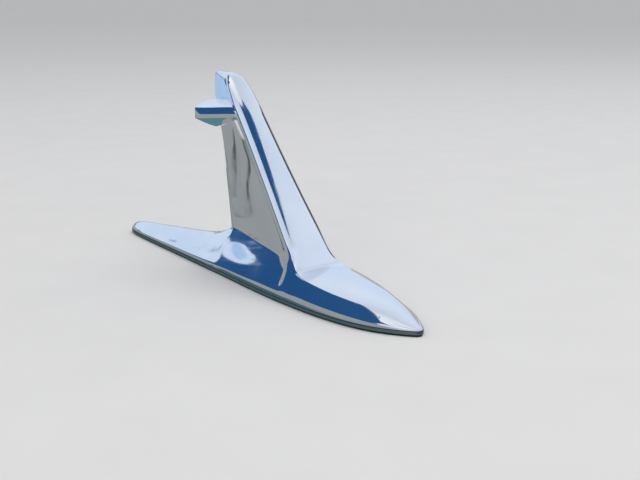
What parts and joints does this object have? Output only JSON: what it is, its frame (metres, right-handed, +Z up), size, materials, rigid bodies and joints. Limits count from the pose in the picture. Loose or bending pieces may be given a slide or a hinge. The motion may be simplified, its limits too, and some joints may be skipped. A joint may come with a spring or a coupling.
{
  "type": "car bonnet ornament",
  "caption": "Chromed jet-age fin with swept wings on a boat-shaped base, standing on a rubber pad and held from below by studs, washers and nuts.",
  "frame": {"origin": "on the seat, the pad's underside, half-way between the two studs", "axes": "+Z up out of the bonnet, -Y towards the nose and the front of the car, +X to the car's left"},
  "size_m": [0.0378, 0.25, 0.1272],
  "materials": {
    "chrome_plate": "polished chrome plate with a light haze and a few pits",
    "pad_rubber": "matt black rubber",
    "stud_steel": "plain rolled steel",
    "zinc_plated_steel": "dull zinc plate"
  },
  "bodies": {
    "root": {"ornament": "chrome_plate", "pad": "pad_rubber", "stud_front": "stud_steel", "stud_rear": "stud_steel", "washer_front": "zinc_plated_steel", "washer_rear": "zinc_plated_steel", "nut_front": "zinc_plated_steel", "nut_rear": "zinc_plated_steel"}
  },
  "joints": []
}
